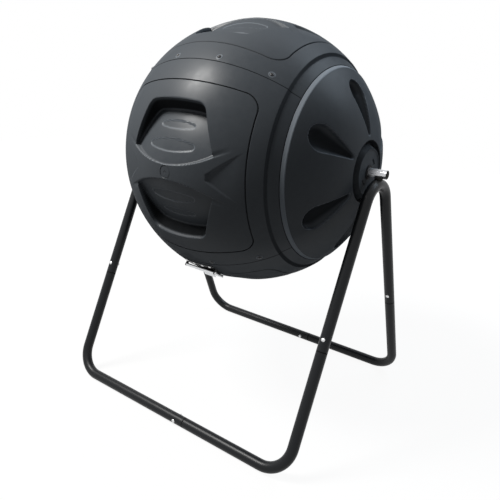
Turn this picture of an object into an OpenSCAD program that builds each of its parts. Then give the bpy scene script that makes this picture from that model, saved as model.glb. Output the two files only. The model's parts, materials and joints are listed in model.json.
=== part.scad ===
// Compost tumbler: a ball-shaped drum of four side panels and two end caps, turning on a
// tube axle that is bolted across two A-shaped tube frames.
// Frame: +X along the axle to the right, -Y to the front, +Z up. Millimetres and degrees.
// The origin is on the ground, midway between the four corners of the base.

/* [Stand] */
// Space along the axle between the drum's radius and the tubes of each side frame
frame_gap = 11.1; // [6:0.1:60]
// Depth of the base, between the centres of its front and rear bars
base_d = 746; // [700:2:800]
// Height of the corner where the legs of one side would meet, above the bars' centres
apex_h = 846; // [836:2:900]
// Outside diameter of the stand's tube
tube_od = 31.8; // [29:0.2:34]
// Wall of the stand's tube
tube_wall = 1.6; // [1.2:0.1:2]
// Centreline radius of the bend at the top of each side frame
peak_r = 72; // [66:1:80]
// Centreline radius of the bend at each corner of the base
corner_r = 80; // [70:2:100]
// Share of a leg, from its base corner, at which its two tubes meet
leg_joint_share = 0.375; // [0.3:0.005:0.45]
// Place of the joint in the base bars, to the right of the middle
bar_joint_x = 66; // [30:2:120]
// Length of the swaged tube end inside the other tube
swage_len = 62; // [50:2:80]
// Distance from a tube joint back to its bolt
joint_bolt_in = 33; // [28:1:40]
// Clearance all round a swaged tube end
swage_gap = 0.15; // [0.05:0.05:0.3]

/* [Axle] */
// Outside diameter of the axle tube
axle_od = 25; // [22:0.5:28]
// Wall of the axle tube
axle_wall = 2; // [1.5:0.25:3]
// How far the axle tube reaches past the side frames' centres
axle_reach = 23; // [20:1:30]
// Thickness of the saddle between the axle and the top of a side frame
saddle_t = 2; // [1.5:0.5:5]
// Diameter of the upright bolts through the axle
axle_bolt_d = 8; // [6:1:8]
// Thickness of the head of the plug in each end of the axle
plug_head_t = 3; // [2:0.5:5]

/* [Drum] */
// Outside radius of the drum
drum_r = 398; // [392:1:402]
// Wall of the panels and end caps
wall = 4; // [3:0.25:5]
// How far the drum stands turned from panels square to the front
drum_turn = -2.2; // [-10:0.2:10]
// Gap between neighbouring shell pieces at the surface
seam_gap = 1.5; // [1:0.25:2.5]
// Clearance between shells that lap under each other
lap_gap = 0.4; // [0.3:0.1:1]
// Length of the tucked flange along the upper edge of each panel
lap_len = 28; // [25:1:32]
// Depth of the channel round each end of the side panels
band_depth = 4.5; // [3:0.25:6]
// Latitude where the step down into the channel starts
step_lat = 39.2; // [38.8:0.1:39.6]
// Latitude where the side panels end and the end cap begins
rim_lat = 45.2; // [44.8:0.1:46]

/* [Seam fasteners] */
// Diameter of the seam screws
screw_d = 6; // [5:0.5:7]
// Distance of the seam screws from the seam
screw_in = 15; // [13:1:17]
// Latitude of the inner seam screws
screw_inner_lat = 10.42; // [8.6:0.02:13]
// Latitude of the outer seam screws
screw_outer_lat = 31.84; // [29:0.02:32.4]

/* [Lid outline and grips] */
// Half width of the lid outline along the axle
lid_half_w = 217; // [212:1:220]
// Angle from a panel's middle to the long edges of the lid outline
lid_angle = 35.6; // [35:0.1:36.2]
// Corner radius of the lid outline
lid_corner_r = 40; // [30:1:50]
// Width of the gap round the lid
lid_gap = 3; // [2:0.25:4]
// Depth of the groove that draws the lid on the closed panels
groove_depth = 2; // [1.5:0.25:2.5]
// Angle from a panel's middle to the gripped edge of a hand recess
grip_top_angle = 27.8; // [26.5:0.1:28.2]
// Angle from a panel's middle to the lowest point of a hand recess
grip_low_angle = 2.8; // [2.6:0.1:4]
// Half width of a hand recess at its gripped edge
grip_top_half = 93; // [80:1:100]
// Half width of a hand recess at its widest
grip_foot_half = 139; // [125:1:145]
// Corner radius of a hand recess at its gripped edge
grip_corner_r = 28; // [20:1:34]
// Depth of a hand recess at the edge of the middle band
grip_lip = 3; // [2.5:0.25:4]
// Offset of the curved floor that makes a hand recess deepest at its gripped edge
grip_offset = 112; // [90:2:120]
// Radius of the round pad in the middle of a panel
pad_r = 19; // [15:1:19]

/* [End cap] */
// Distance from the axle to the middle of the round end of a teardrop recess
tear_fat_at = 207; // [200:1:214]
// Radius of the round end of a teardrop recess
tear_fat_r = 35; // [30:1:38]
// Distance from the axle to the pointed end of a teardrop recess
tear_tip_at = 106; // [103:1:112]
// Radius of the pointed end of a teardrop recess
tear_tip_r = 7; // [5:0.5:8]
// Depth of a teardrop recess at its round end, along the axle
tear_depth = 28; // [20:1:32]
// Depth of a teardrop recess at its pointed end, along the axle
tear_tip_depth = 9; // [5:0.5:12]
// Radius of the round moat in the middle of an end cap
moat_r = 87; // [84:1:90]
// Depth of the moat below the hub's face
moat_depth = 22; // [16:1:26]
// Radius of the rim round the hub's flat face
hub_rim_r = 64; // [58:1:68]
// Distance of the hub's face in from the drum's radius
hub_face_in = 5; // [4:0.5:8]
// Length of the hub barrel and its bush inside the cap
hub_len = 46; // [36:1:60]
// Wall of the bush between the axle and the hub
bush_wall = 4; // [3:0.5:5]
// Running clearance of the bush on the axle, on the radius
bush_run = 0.08; // [0.04:0.01:0.1]

/* [Door hinge and latch] */
// Place of each hinge along the axle
hinge_x = 90; // [80:1:100]
// Width of the door's hinge lug
lug_w = 24; // [18:1:30]
// Width of each of the two panel lugs beside it
lug_side_w = 6; // [5:0.5:8]
// Height of the hinge axis above the surface
hinge_rise = 12; // [11:0.5:14]
// Diameter of the hinge and latch pins
pin_d = 6; // [5:0.5:7]
// Half width of the latch lever
latch_half = 54; // [45:1:60]
// Angle from the doorway's middle to the latch pivot
latch_angle = 39.2; // [39:0.1:39.5]
// Height of the latch pivot above the drum
latch_rise = 8; // [7.5:0.25:9]
// Thickness of the latch's sheet metal
sheet_t = 2; // [1.5:0.25:2.5]

/* [Hidden] */
$fn = 64;
ball_fn = 180;
over = 1;                                   // overrun of a cut past a face

// Stand
tube_r = tube_od / 2;
bore_r = tube_r - tube_wall;
swage_r = bore_r - swage_gap;
frame_w = 2 * (drum_r + frame_gap + tube_r); // between the side frames, centre to centre
ground_z = tube_r;                          // height of the bars' centres
leg_lean = atan(base_d / 2 / apex_h);       // lean of a leg from upright
leg_len = sqrt(pow(apex_h, 2) + pow(base_d / 2, 2));
leg_joint = leg_len * leg_joint_share;
peak_tangent = peak_r / tan(leg_lean);      // from the virtual apex to the bend's end
peak_drop = peak_r / sin(leg_lean) - peak_r; // from the virtual apex to the bend's crest
crest_z = ground_z + apex_h - peak_drop + tube_r;
joint_bolt_d = 6;
bolt_gap = 0.2;                             // clearance round a bolt in its hole
head_t = 3.2;                               // thickness of a small domed bolt head
nut_t = 5;
seat_gap = 0.06;                            // between a flat head and a curved wall

// Axle
axle_r = axle_od / 2;
axle_z = crest_z + saddle_t + axle_r;
axle_half = frame_w / 2 + axle_reach;
plug_len = axle_reach - axle_bolt_d - 2;
axle_head_t = 5;
axle_head_r = axle_bolt_d * 0.95;
axle_nut_t = 5.5;
axle_nut_r = axle_bolt_d * 0.94;
// A flat face seats this far inside the bend's crest, and this far off the bore's bottom
crest_sag = peak_r - tube_r - sqrt(pow(peak_r - tube_r, 2) - pow(axle_head_r, 2));
bore_sag = axle_r - axle_wall - sqrt(pow(axle_r - axle_wall, 2) - pow(axle_nut_r, 2));

// Drum
half_panel = 45;                            // half of a side panel's angle
seam_turn = asin(seam_gap / 2 / drum_r);
lap_turn = lap_len / drum_r * 180 / PI;
lap_r = drum_r - wall - lap_gap;            // outer radius of what tucks under a panel
lap_lat = 36.4;                             // latitude where the tucked flange ends
step_run = 1.6;                             // latitude run of the step and of the bevel
bevel_end = rim_lat + step_run;
hook_lat = step_lat - 1.1;                  // start of the hook on the end cap's flange
panel_turns = [0, 90, 180, 270];
DOORWAY = 3;                                // place of the doorway in panel_turns

// Fasteners in the seams
screw_inner_x = drum_r * sin(screw_inner_lat);
screw_outer_x = drum_r * sin(screw_outer_lat);
screw_head_r = screw_d * 0.95;
screw_nut_r = screw_d * 0.96;

// Lid outline
lid_lip_w = 14;                             // width of the seat under the door's edge

// Hand recesses
grip_tilt = 45;                             // direction of the walls of a hand recess
grip_foot_angle = 8;
grip_floor_r = sqrt(pow(drum_r - grip_lip, 2) + pow(grip_offset, 2)
    + 2 * (drum_r - grip_lip) * grip_offset * sin(grip_low_angle));
pad_rise = 0.3;
pad_rim = 1.2;                              // width of the low rim round the pad
pad_sink = 0.8;
notch_start = 122;                          // start of the notch beside the middle band
notch_end = 190;
notch_half_in = 8;
notch_half_out = 56;
notch_depth = 6;
dimple_depth = 1.5;                         // finger dimples on a hand recess floor
dimples = [[10.3, 78, 17], [18.7, 60, 12]]; // angle, half length, half height

// Hub
hub_x = drum_r - hub_face_in;
bush_r = axle_r + bush_wall;
barrel_r = bush_r + 6;
bush_bore_r = axle_r + bush_run;
bush_flange_t = 2.5;
vent_at = 38;                               // radius of the two vent slots in a hub's face
vent_w = 6;
vent_turn = 137;
vent_sweep = 26;

// Door
hinge_turn = -lid_angle;
hinge_at = sqrt(pow(drum_r, 2) - pow(hinge_x, 2)) + hinge_rise;
pin_gap = 0.05;                             // running clearance of a pin, on the radius
side_gap = 0.4;                             // sideways clearance of a lug or lever
lug_r = pin_d / 2 + 3.5;
pin_end = hinge_x + lug_w / 2 + side_gap + lug_side_w + 0.3;
pin_start = hinge_x - lug_w / 2 - side_gap - lug_side_w - 0.3;
latch_pin_r = 2.5;
barrel_out_r = latch_pin_r + sheet_t;
lever_r = drum_r + latch_rise - barrel_out_r + sheet_t + 1.5; // outer radius of the lever plate
keeper_angle = 32.4;                        // lower face of the rib that the lever hooks over
keeper_t = 1.5;
keeper_rib = 4.4;                           // height of the rib above the drum
lip_turn = 0.3;
lever_end = keeper_angle - lip_turn - 0.14;
plate_half = latch_half - 0.5;              // the lever's plate, a little short of its barrel
tab_half = latch_half * 0.4;
tab_len = 12;
keeper_half = latch_half - 8;
rivet_r = 2.4;

function on_ball(x) = sqrt(pow(drum_r, 2) - pow(x, 2));

// ---------- placing ----------

// Local Z along the axle and local X to the front
module axial() rotate([-90, 0, -90]) children();

// A (radius, x) section turned about the axle between two angles up from the front
module revolve(from, to)
    axial() rotate_extrude(start = -to, angle = to - from, $fn = ball_fn) children();

module whole_turn() axial() rotate_extrude($fn = ball_fn) children();

// A flat shape pushed out through the drum's front, at a tilt up from the front
module push_out(tilt = 0, from = drum_r / 2)
    rotate([90 - tilt, 0, 0]) translate([0, 0, from])
        linear_extrude(drum_r - from + 40) children();

module ball(r) rotate([0, 90, 0]) sphere(r, $fn = ball_fn);

// Onto the drum's skin, local Z outward
module at_skin(angle, x, lift = 0)
    rotate([-angle, 0, 0]) rotate([0, 0, asin(x / drum_r)])
        translate([0, -drum_r - lift, 0]) rotate([90, 0, 0]) children();

module on_drum(turn = 0)
    translate([0, 0, axle_z]) rotate([-drum_turn - turn, 0, 0]) children();

module both_sides() { children(); mirror([1, 0, 0]) children(); }
module both_ends() { children(); mirror([0, 0, 1]) children(); }

function polar(r, lat) = [r * cos(lat), r * sin(lat)];

// Wedge of the section plane between two latitudes
module sector(from, to) polygon([[0, 0], polar(2 * drum_r, from), polar(2 * drum_r, to)]);

// ---------- stand ----------

// A round tube along Z with its bore left open
module pipe(from, to, outer = tube_r, inner = bore_r)
    translate([0, 0, from]) difference() {
        cylinder(r = outer, h = to - from);
        translate([0, 0, -over]) cylinder(r = inner, h = to - from + 2 * over);
    }

module tube_section() difference() {
    circle(r = tube_r);
    circle(r = bore_r);
}

// A bent tube: starts at the origin along +Z and bends towards +X
module bend(radius, angle)
    translate([radius, 0, 0]) rotate([90, 0, 0]) mirror([1, 0, 0])
        rotate_extrude(angle = angle, $fn = 96) translate([radius, 0]) tube_section();

// The neck and narrowed end of a tube that slides into the next one
module swaged_end(at) {
    pipe(at - 2 * tube_wall, at, tube_r - tube_wall / 2, swage_r - tube_wall);
    pipe(at - 2 * tube_wall, at + swage_len, swage_r, swage_r - tube_wall);
}

// Into the line of one leg: local Z up the leg from the base corner, side is -1 left, 1 right
module leg_line(side, end)
    translate([side * frame_w / 2, end * base_d / 2, ground_z]) rotate([end * leg_lean, 0, 0])
        children();

module joint_hole(at) translate([0, 0, at]) rotate([90, 0, 0])
    cylinder(r = joint_bolt_d / 2 + bolt_gap, h = 3 * tube_od, center = true);

module peak_tube(side) color("#23262a") difference() {
    translate([side * frame_w / 2, 0, crest_z - tube_r - peak_r]) rotate([0, -90, 180]) {
        rotate([0, 0, leg_lean - 90]) rotate_extrude(angle = 180 - 2 * leg_lean, $fn = 96)
            translate([peak_r, 0]) tube_section();
        for (flip = [0, 1]) mirror([0, flip, 0]) rotate([0, 0, 90 - leg_lean])
            translate([peak_r, 0, 0]) rotate([-90, 0, 0])
                pipe(0, leg_len - peak_tangent - leg_joint);
    }
    for (end = [-1, 1]) leg_line(side, end) joint_hole(leg_joint + joint_bolt_in);
    translate([side * frame_w / 2, 0, crest_z - 2 * tube_od])
        cylinder(r = axle_bolt_d / 2 + bolt_gap, h = 3 * tube_od);
}

// A leg's lower half, the corner bend and half of a base bar
module corner_tube(side, end) {
    bar_len = frame_w / 2 - corner_r - side * bar_joint_x;
    color("#23262a") leg_line(side, end) {
        difference() {
            union() {
                pipe(corner_r, leg_joint);
                swaged_end(leg_joint);
            }
            joint_hole(leg_joint + joint_bolt_in);
        }
        translate([0, 0, corner_r]) rotate([180, 0, 0]) mirror([side > 0 ? 1 : 0, 0, 0])
            bend(corner_r, 90);
        translate([side * (frame_w / 2 - corner_r) - side * frame_w / 2, 0, 0])
            rotate([0, -side * 90, 0]) difference() {
                union() {
                    pipe(0, bar_len);
                    if (side > 0)
                        swaged_end(bar_len);
                }
                bar_hole(side, end, bar_len);
            }
    }
}

// The base bolt's hole runs level, so it is turned back by the lean of the leg
module bar_hole(side, end, bar_len)
    translate([0, 0, bar_len + side * joint_bolt_in]) rotate([0, 0, side * end * leg_lean])
        rotate([90, 0, 0]) cylinder(r = joint_bolt_d / 2 + bolt_gap, h = 3 * tube_od, center = true);

// A domed bolt head with its flat face at z = 0
module dome_head(r, t) intersection() {
    translate([0, 0, t - (r * r + t * t) / (2 * t)]) sphere((r * r + t * t) / (2 * t));
    cylinder(r = r, h = t);
}

module hex_nut(r, t, hole) difference() {
    cylinder(r = r, h = t, $fn = 6);
    translate([0, 0, -over]) cylinder(r = hole, h = t + 2 * over);
}

// A bolt across a tube: the head seats on the near wall, local Z out of the head
module cross_bolt() {
    translate([0, 0, tube_r]) dome_head(joint_bolt_d * 0.95, head_t);
    translate([0, 0, -tube_r - nut_t - 2]) cylinder(d = joint_bolt_d, h = tube_od + nut_t + 2 + over);
}
module cross_nut() translate([0, 0, -tube_r - nut_t])
    hex_nut(joint_bolt_d * 0.96, nut_t, joint_bolt_d / 2 + pin_gap);

module at_leg_bolts() for (side = [-1, 1], end = [-1, 1])
    leg_line(side, end) translate([0, 0, leg_joint + joint_bolt_in]) rotate([90, 0, 0]) children();

module at_base_bolts() for (end = [-1, 1])
    translate([bar_joint_x - joint_bolt_in, end * base_d / 2, ground_z]) rotate([-end * 90, 0, 0])
        children();

module leg_bolts() color("#b9bcbf") at_leg_bolts() cross_bolt();
module leg_nuts() color("#b9bcbf") at_leg_bolts() cross_nut();
module base_bolts() color("#b9bcbf") at_base_bolts() cross_bolt();
module base_nuts() color("#b9bcbf") at_base_bolts() cross_nut();

// ---------- axle ----------

module at_peaks() for (side = [-1, 1]) translate([side * frame_w / 2, 0, axle_z]) children();

module axle() color("#c3c8cc") difference() {
    translate([0, 0, axle_z]) rotate([0, 90, 0]) pipe(-axle_half, axle_half, axle_r, axle_r - axle_wall);
    at_peaks() translate([0, 0, -axle_od]) cylinder(r = axle_bolt_d / 2 + bolt_gap, h = axle_od);
}

module axle_plugs() color("#3c3d35") translate([0, 0, axle_z]) both_sides()
    translate([axle_half, 0, 0]) rotate([0, 90, 0]) {
        dome_head(axle_r, plug_head_t);
        translate([0, 0, -plug_len]) cylinder(r = axle_r - axle_wall - pin_gap, h = plug_len + over);
    }

// Saddle block: flat sides, hollowed to the axle above and to the tube's crest below
module axle_saddles() color("#1b1c1d") difference() {
    at_peaks() translate([0, 0, -axle_r - saddle_t - 3]) cylinder(r = 11, h = saddle_t + 6);
    translate([0, 0, axle_z]) rotate([0, 90, 0])
        cylinder(r = axle_r + seat_gap, h = 2 * frame_w, center = true);
    at_peaks() translate([0, 0, crest_z - tube_r - axle_z - peak_r]) rotate([0, 90, 0])
        rotate_extrude($fn = 96) translate([peak_r, 0]) circle(r = tube_r + seat_gap);
    at_peaks() cylinder(r = axle_bolt_d / 2 + bolt_gap, h = 3 * axle_od, center = true);
}

// The bolts come up through the side frames and end in captive nuts inside the axle
module axle_bolts() color("#b9bcbf") at_peaks() translate([0, 0, -axle_r - saddle_t - tube_od]) {
    translate([0, 0, -crest_sag - seat_gap]) mirror([0, 0, 1]) dome_head(axle_head_r, axle_head_t);
    translate([0, 0, -crest_sag - 1]) cylinder(d = axle_bolt_d, h = crest_sag + 1 + tube_od
        + saddle_t + axle_wall + bore_sag + axle_nut_t + 2);
}

module axle_nuts() color("#8c8f92") at_peaks()
    translate([0, 0, -axle_r + axle_wall + bore_sag + seat_gap]) rotate([0, 0, 30])
        hex_nut(axle_nut_r, axle_nut_t, axle_bolt_d / 2 + pin_gap);

// ---------- drum shells ----------

// Channel round each end of the drum, in the section plane
module channel(sunk) both_rims() intersection() {
    difference() {
        circle(r = drum_r + over, $fn = ball_fn);
        circle(r = drum_r - band_depth - sunk, $fn = ball_fn);
    }
    polygon([polar(drum_r - 2 * band_depth - sunk, step_lat + 2 * step_run),
        polar(drum_r - band_depth - sunk, step_lat + step_run),
        polar(drum_r - sunk, step_lat), polar(drum_r + 4, step_lat - step_run / 2),
        polar(drum_r + 8, (step_lat + bevel_end) / 2),
        polar(drum_r + 4, bevel_end + step_run / 2), polar(drum_r - sunk, bevel_end),
        polar(drum_r - band_depth - sunk, rim_lat)]);
}
module both_rims() { children(); mirror([0, 1]) children(); }

// Section of all that lies within the skin, or `sunk` below it
module skin(sunk) difference() {
    circle(r = drum_r - sunk, $fn = ball_fn);
    channel(sunk);
}

module ring(outer, inner) difference() {
    circle(r = outer, $fn = ball_fn);
    circle(r = inner, $fn = ball_fn);
}

module panel_section() intersection() {
    difference() { skin(0); skin(wall); }
    sector(-rim_lat, rim_lat);
}

module tucked_section(from_r) intersection() {
    ring(from_r, lap_r - wall);
    sector(-lap_lat, lap_lat);
}

// One quarter of the side, with the flange that tucks under the next panel up
module quarter() {
    edge = half_panel - seam_turn;
    revolve(-edge, edge) panel_section();
    revolve(edge - 1, half_panel + lap_turn) tucked_section(lap_r);
    revolve(edge - 1, edge) tucked_section(drum_r - wall / 2);
}

// ---------- lid outline ----------

// Space under the upper half of the lid outline: its long edge lies in a plane at lid_angle
module lid_side(inset) {
    half = lid_half_w - inset;
    corner = lid_corner_r - inset;
    push_out(lid_angle, drum_r / 6) {
        translate([-half, -1.2 * drum_r]) square([2 * half, 1.2 * drum_r - lid_corner_r]);
        translate([corner - half, -lid_corner_r - over]) square([2 * (half - corner), corner + over]);
        for (s = [-1, 1]) translate([s * (half - corner), -lid_corner_r]) circle(r = corner);
    }
}

module lid_space(inset) intersection() {
    lid_side(inset);
    mirror([0, 0, 1]) lid_side(inset);
}

module lid_groove() difference() {
    lid_space(0);
    lid_space(lid_gap);
    ball(drum_r - groove_depth);
}

// ---------- hand recesses and middle band ----------

// Height in the tilted plane of a point on the skin
function tilted(x, angle) = on_ball(x) * sin(angle - grip_tilt);

module grip_outline(grow) {
    top = tilted(0, grip_top_angle);
    foot = tilted(grip_foot_half, grip_foot_angle);
    low = tilted(0, grip_low_angle);
    side = [top - foot, grip_foot_half - grip_top_half];
    out = side / norm(side);                       // outward normal of the sloping side
    reach = out * [grip_top_half, top];
    mid_v = top - grip_corner_r;
    mid_u = (reach - grip_corner_r - out[1] * mid_v) / out[0];
    round_r = grip_corner_r + grow;
    under = low - 2 * grow - 12;
    side_u = mid_u + round_r * out[0];
    side_v = mid_v + round_r * out[1];
    under_u = (reach + grow - out[1] * under) / out[0];
    arc = (pow(grip_foot_half, 2) + pow(foot - low, 2)) / (2 * (foot - low));
    intersection() {
        translate([0, low + arc]) circle(r = arc + grow, $fn = ball_fn);
        union() {
            for (s = [-1, 1]) translate([s * mid_u, mid_v]) circle(r = round_r);
            polygon([[mid_u, top + grow], [side_u, side_v], [under_u, under],
                [-under_u, under], [-side_u, side_v], [-mid_u, top + grow]]);
        }
    }
}

// Space of the upper hand recess, grown all round for the wall behind it
module grip_space(grow) difference() {
    push_out(grip_tilt) grip_outline(grow);
    translate([0, 0, -grip_offset]) ball(grip_floor_r - grow);
}

// Lens shape with its two points cut off
module dimple(half_len, half_h) {
    arc = (pow(1.25 * half_len, 2) + pow(half_h, 2)) / (2 * half_h);
    intersection() {
        translate([0, arc - half_h]) circle(r = arc, $fn = ball_fn);
        translate([0, half_h - arc]) circle(r = arc, $fn = ball_fn);
        square([2 * half_len, 4 * half_h], center = true);
    }
}

module grip_cut() {
    grip_space(0);
    difference() {
        intersection() {
            for (d = dimples) push_out(d[0]) dimple(d[1], d[2]);
            push_out(grip_tilt) grip_outline(-over);
        }
        translate([0, 0, -grip_offset]) ball(grip_floor_r - dimple_depth);
    }
}

module grip_cup() intersection() {
    grip_space(wall);
    ball(drum_r - wall / 2);
}

// Shallow notch beside the middle band; its floor runs out flush at notch_end
module band_notch(grow) {
    inward = notch_depth / (on_ball(notch_start) / drum_r
        - on_ball(notch_end) / notch_end * notch_start / drum_r);
    sideways = inward * on_ball(notch_end) / notch_end;
    in_x = notch_start - grow;
    out_x = notch_end + 20;
    difference() {
        push_out() polygon([[in_x, notch_half_in + grow], [out_x, notch_half_out + 14 + grow],
            [out_x, -notch_half_out - 14 - grow], [in_x, -notch_half_in - grow]]);
        translate([sideways, inward, 0]) ball(drum_r - grow);
    }
}
module notch_cup() intersection() {
    band_notch(wall);
    ball(drum_r - wall / 2);
}

// A low rim round a slightly sunk face, standing clear of the recesses beside it
module middle_pad() intersection() {
    rotate([90, 0, 0]) translate([0, 0, drum_r - wall / 2]) cylinder(r = pad_r, h = wall / 2 + pad_rise);
    ball(drum_r + pad_rise);
}
module pad_face() difference() {
    rotate([90, 0, 0]) translate([0, 0, drum_r - wall / 2]) cylinder(r = pad_r - pad_rim, h = wall);
    ball(drum_r - pad_sink);
}

// Adds the two hand recesses, the notched middle band and the round pad to a shell
module with_grips() difference() {
    union() {
        difference() {
            union() {
                children();
                both_ends() grip_cup();
                both_sides() notch_cup();
            }
            both_ends() grip_cut();
            both_sides() band_notch(0);
        }
        middle_pad();
    }
    pad_face();
}

// ---------- panels ----------

module seam_holes(angle_to_screw) for (x = [screw_inner_x, screw_outer_x]) both_sides()
    at_skin(angle_to_screw + screw_in / on_ball(x) * 180 / PI, x, -3 * wall)
        cylinder(r = screw_d / 2 + bolt_gap, h = 5 * wall);

module bored_quarter() difference() {
    quarter();
    seam_holes(-half_panel);
    seam_holes(half_panel);
}

module closed_panel(turn) color("#2b2e31") on_drum(turn) difference() {
    with_grips() bored_quarter();
    lid_groove();
}

// Seat that the door's edge closes on, and the step that joins it to the panel
module doorway_lip() difference() {
    intersection() {
        union() {
            revolve(-half_panel, half_panel) tucked_section(lap_r);
            difference() {
                revolve(-half_panel, half_panel) tucked_section(drum_r - wall / 2);
                lid_space(0);
            }
        }
        lid_space(-6);
    }
    lid_space(lid_lip_w);
}

// Hinge lug: a flat plate from the shell to a rounded eye, local to the drum section plane
module panel_doorway() color("#2b2e31") on_drum(panel_turns[DOORWAY]) {
    difference() {
        union() {
            difference() {
                bored_quarter();
                lid_space(0);
            }
            doorway_lip();
            both_sides() for (x = [hinge_x - lug_w / 2 - side_gap - lug_side_w,
                hinge_x + lug_w / 2 + side_gap]) hinge_lug(x, lug_side_w, -1);
        }
        hinge_bore(pin_d / 2 + pin_gap);
        latch_holes();
    }
}

// A lug stands on the panel (away = -1) or on the door (away = 1)
module hinge_lug(x, width, away) {
    root = on_ball(x + (x > 0 ? width : 0)) - wall / 2;
    translate([x, 0, 0]) rotate([-hinge_turn, 0, 0]) rotate([90, 0, 90]) linear_extrude(width)
        union() {
            translate([-hinge_at, 0]) circle(r = lug_r);
            polygon([[-hinge_at, -lug_r], [-hinge_at, lug_r], [-root, lug_root(away, 1)],
                [-root, lug_root(away, -1)]]);
        }
}
function lug_root(away, s) = away * (lid_gap / 2 + 10.5) + s * 6;

module hinge_bore(r) both_sides() rotate([-hinge_turn, 0, 0]) translate([hinge_x, -hinge_at, 0])
    rotate([0, 90, 0]) cylinder(r = r, h = lug_w + 4 * lug_side_w, center = true);

module door() color("#2b2e31") on_drum(panel_turns[DOORWAY]) difference() {
    union() {
        intersection() {
            with_grips() revolve(-half_panel, half_panel) panel_section();
            lid_space(lid_gap / 2);
        }
        difference() {
            both_sides() hinge_lug(hinge_x - lug_w / 2, lug_w, 1);
            ball(drum_r - wall / 2);
        }
    }
    hinge_bore(pin_d / 2 + pin_gap);
    keeper_holes();
}

// ---------- end caps ----------

moat_x = hub_x - moat_depth;
moat_lip_x = on_ball(moat_r);
moat_floor_w = 4;
moat_wall_run = 4;                          // the moat's outer wall leans out this much
hub_rim_t = 1.8;                            // height of the rim round the hub's face
hub_rim_half = 1.5;

// Everything in front of the hub and in its moat
module hub_front() polygon([[0, hub_x], [hub_rim_r - hub_rim_half - over, hub_x],
    [hub_rim_r - hub_rim_half, hub_x + hub_rim_t], [hub_rim_r + hub_rim_half, hub_x + hub_rim_t],
    [moat_r - moat_wall_run - moat_floor_w, moat_x], [moat_r - moat_wall_run, moat_x],
    [moat_r + moat_wall_run, 2 * moat_lip_x - moat_x], [0, 2 * moat_lip_x - moat_x]]);

module hub_body() polygon([[0, hub_x + 5], [hub_rim_r + 4, hub_x + 5],
    [moat_r - 2, moat_lip_x - 1], [moat_r + wall, moat_lip_x - 2],
    [moat_r + wall, moat_lip_x - wall - 2], [moat_r - moat_wall_run + wall - 0.5, moat_x - wall],
    [moat_r - moat_wall_run - moat_floor_w - wall / 2, moat_x - wall],
    [hub_rim_r - hub_rim_half - 2, hub_x - wall], [barrel_r, hub_x - wall],
    [barrel_r, hub_x - hub_len], [0, hub_x - hub_len]]);

module cap_body() difference() {
    union() {
        whole_turn() intersection() {
            difference() { skin(0); skin(wall); }
            sector(rim_lat + 2 * seam_turn, 85);
        }
        whole_turn() intersection() {
            ring(drum_r - band_depth - wall / 2, lap_r - band_depth - wall);
            sector(rim_lat + 2 * seam_turn, rim_lat + 1);
        }
        whole_turn() intersection() {
            ring(lap_r - band_depth, lap_r - band_depth - wall);
            sector(hook_lat, rim_lat + 1);
        }
        whole_turn() intersection() {
            ring(lap_r - wall / 2, lap_r - band_depth - wall);
            sector(hook_lat, hook_lat + 0.6);
        }
        whole_turn() hub_body();
    }
    whole_turn() hub_front();
    rotate([0, 90, 0]) cylinder(r = bush_r, h = 2 * drum_r);
}

// Teardrop of two circles and the straight sides between them, pointing at the axle
module teardrop(grow) {
    lean = -(tear_fat_r - tear_tip_r) / (tear_fat_at - tear_tip_at);
    out = [lean, sqrt(1 - lean * lean)];
    fat = [tear_fat_at, 0] + (tear_fat_r + grow - tear_secant) * out;
    tip = [tear_tip_at, 0] + (tear_tip_r + grow - tear_secant) * out;
    translate([tear_fat_at, 0]) circle(r = tear_fat_r + grow);
    translate([tear_tip_at, 0]) circle(r = tear_tip_r + grow);
    polygon([fat, tip, [tip[0], -tip[1]], [fat[0], -fat[1]]]);
}
tear_secant = 0.2;                          // the sides cross the circles a little inside

// Reach of the teardrops from the axle, for their floor
tear_near = tear_tip_at - 30;
tear_far = tear_fat_at + tear_fat_r + 20;
tear_tops = 10;

// Six teardrops above a sloping floor, sunk a little more for the wall behind them
module tear_space(grow, top) {
    tip_x = on_ball(tear_tip_at) - tear_tip_depth;
    fat_x = on_ball(tear_fat_at) - tear_depth;
    slope = (tip_x - fat_x) / (tear_fat_at - tear_tip_at);
    intersection() {
        axial() for (i = [0:5]) rotate([0, 0, 30 + 60 * i]) linear_extrude(drum_r + 20)
            teardrop(grow);
        whole_turn() polygon(concat(top, [
            [tear_far, fat_x - (tear_far - tear_fat_at) * slope - grow],
            [tear_near, tip_x + (tear_tip_at - tear_near) * slope - grow]]));
    }
}
module tear_cups() tear_space(wall, [for (i = [0:tear_tops])
    let (r = tear_near + (tear_far - tear_near) * i / tear_tops) [r, on_ball(r) - wall / 2]]);
module tear_cut() tear_space(0, [[tear_near, drum_r + 20], [tear_far, drum_r + 20]]);

module vent_slots() axial() for (turn = [vent_turn, vent_turn + 180])
    rotate([0, 0, -turn - vent_sweep / 2]) translate([0, 0, hub_x - 2 * wall]) {
        rotate_extrude(angle = vent_sweep) translate([vent_at - vent_w / 2, 0])
            square([vent_w, 4 * wall]);
        for (a = [0, vent_sweep]) rotate([0, 0, a]) translate([vent_at, 0, 0])
            cylinder(d = vent_w + 0.4, h = 4 * wall);
    }

module right_cap() difference() {
    union() {
        cap_body();
        tear_cups();
    }
    tear_cut();
    vent_slots();
}

module end_cap(side) color("#292c30") on_drum() mirror([side < 0 ? 1 : 0, 0, 0]) right_cap();

module hub_bush(side) color("#15171a") on_drum() mirror([side < 0 ? 1 : 0, 0, 0])
    whole_turn() polygon([[bush_bore_r, hub_x - hub_len], [bush_r - seat_gap, hub_x - hub_len],
        [bush_r - seat_gap, hub_x + seat_gap], [bush_r + 3, hub_x + seat_gap],
        [bush_r + 3, hub_x + bush_flange_t], [bush_bore_r, hub_x + bush_flange_t]]);

// ---------- seam fasteners ----------

module at_seam_screws() for (turn = panel_turns, x = [screw_inner_x, screw_outer_x])
    on_drum(turn) both_sides()
        at_skin(-half_panel + screw_in / on_ball(x) * 180 / PI, x) children();

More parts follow.
